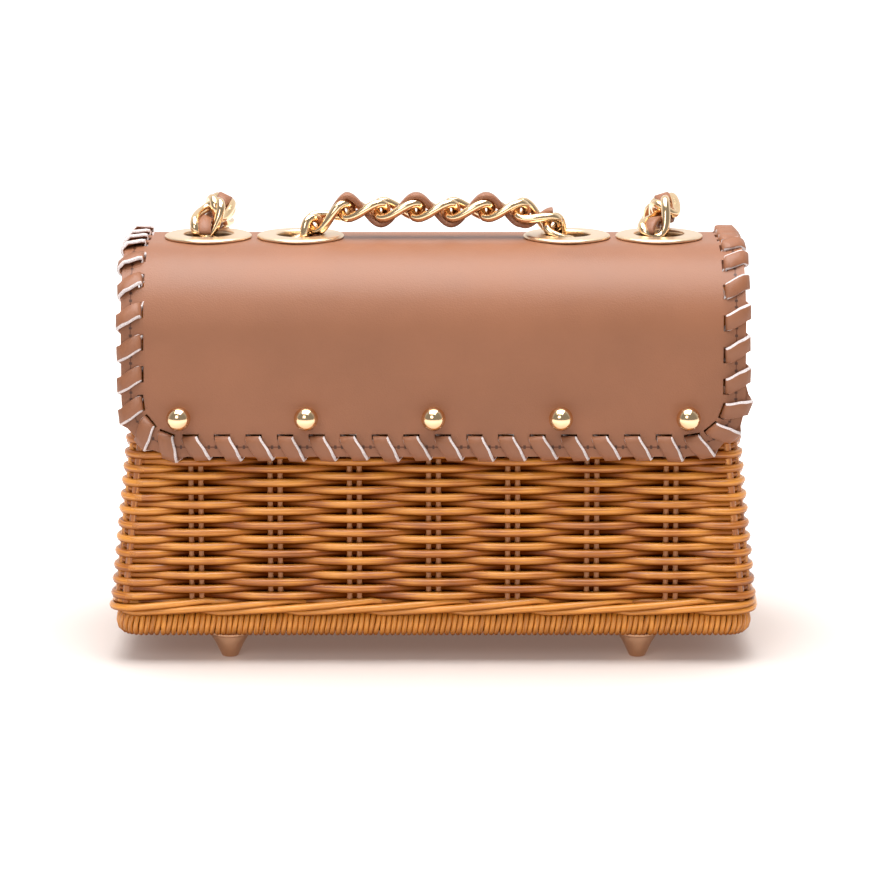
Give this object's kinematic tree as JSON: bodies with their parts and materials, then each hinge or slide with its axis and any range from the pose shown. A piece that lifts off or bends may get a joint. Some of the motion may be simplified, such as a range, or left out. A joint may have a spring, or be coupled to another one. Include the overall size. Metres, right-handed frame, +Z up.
{
  "type": "hand bag",
  "caption": "Small hand bag of woven rattan with an arched leather flap, laced edges, ball studs, flat grommets, a twisted chain handle and short conical feet.",
  "frame": {"origin": "on the floor below the middle of the bag, measured without the strap behind it", "axes": "+X to the right across the front, +Y to the back, +Z up; the flap's panel faces -Y"},
  "size_m": [0.24, 0.1192, 0.1731],
  "materials": {
    "rattan": "satin",
    "leather": "satin",
    "gold": "polished",
    "satin_gold": "satin",
    "steel": "satin"
  },
  "bodies": {
    "basket": {"front_wall": "rattan", "back_wall": "rattan", "left_end_wall": "rattan", "right_end_wall": "rattan", "corner_posts": "rattan", "base_border": "rattan", "floor_mat": "rattan", "front_rim": "rattan", "hinge_rod": "rattan", "left_arch_rim": "rattan", "right_arch_rim": "rattan", "feet": "satin_gold", "foot_nuts": "satin_gold", "snap_plates": "steel", "shoulder_strap": "gold"},
    "flap": {"flap": "leather", "flap_lacing": "leather", "hinge_laces": "leather", "grommets": "gold", "ball_studs": "gold", "stud_screws": "steel", "magnet_snaps": "steel", "under_chain": "gold", "handle_links": "gold", "handle_lace": "leather"}
  },
  "joints": [
    {"name": "flap_hinge", "type": "hinge", "parent": "basket", "child": "flap", "pos_m": [0, 0.0447, 0.10875], "axis": [-1, 0, 0], "range_deg": [0, 100], "deforming": ["shoulder_strap"]}
  ]
}
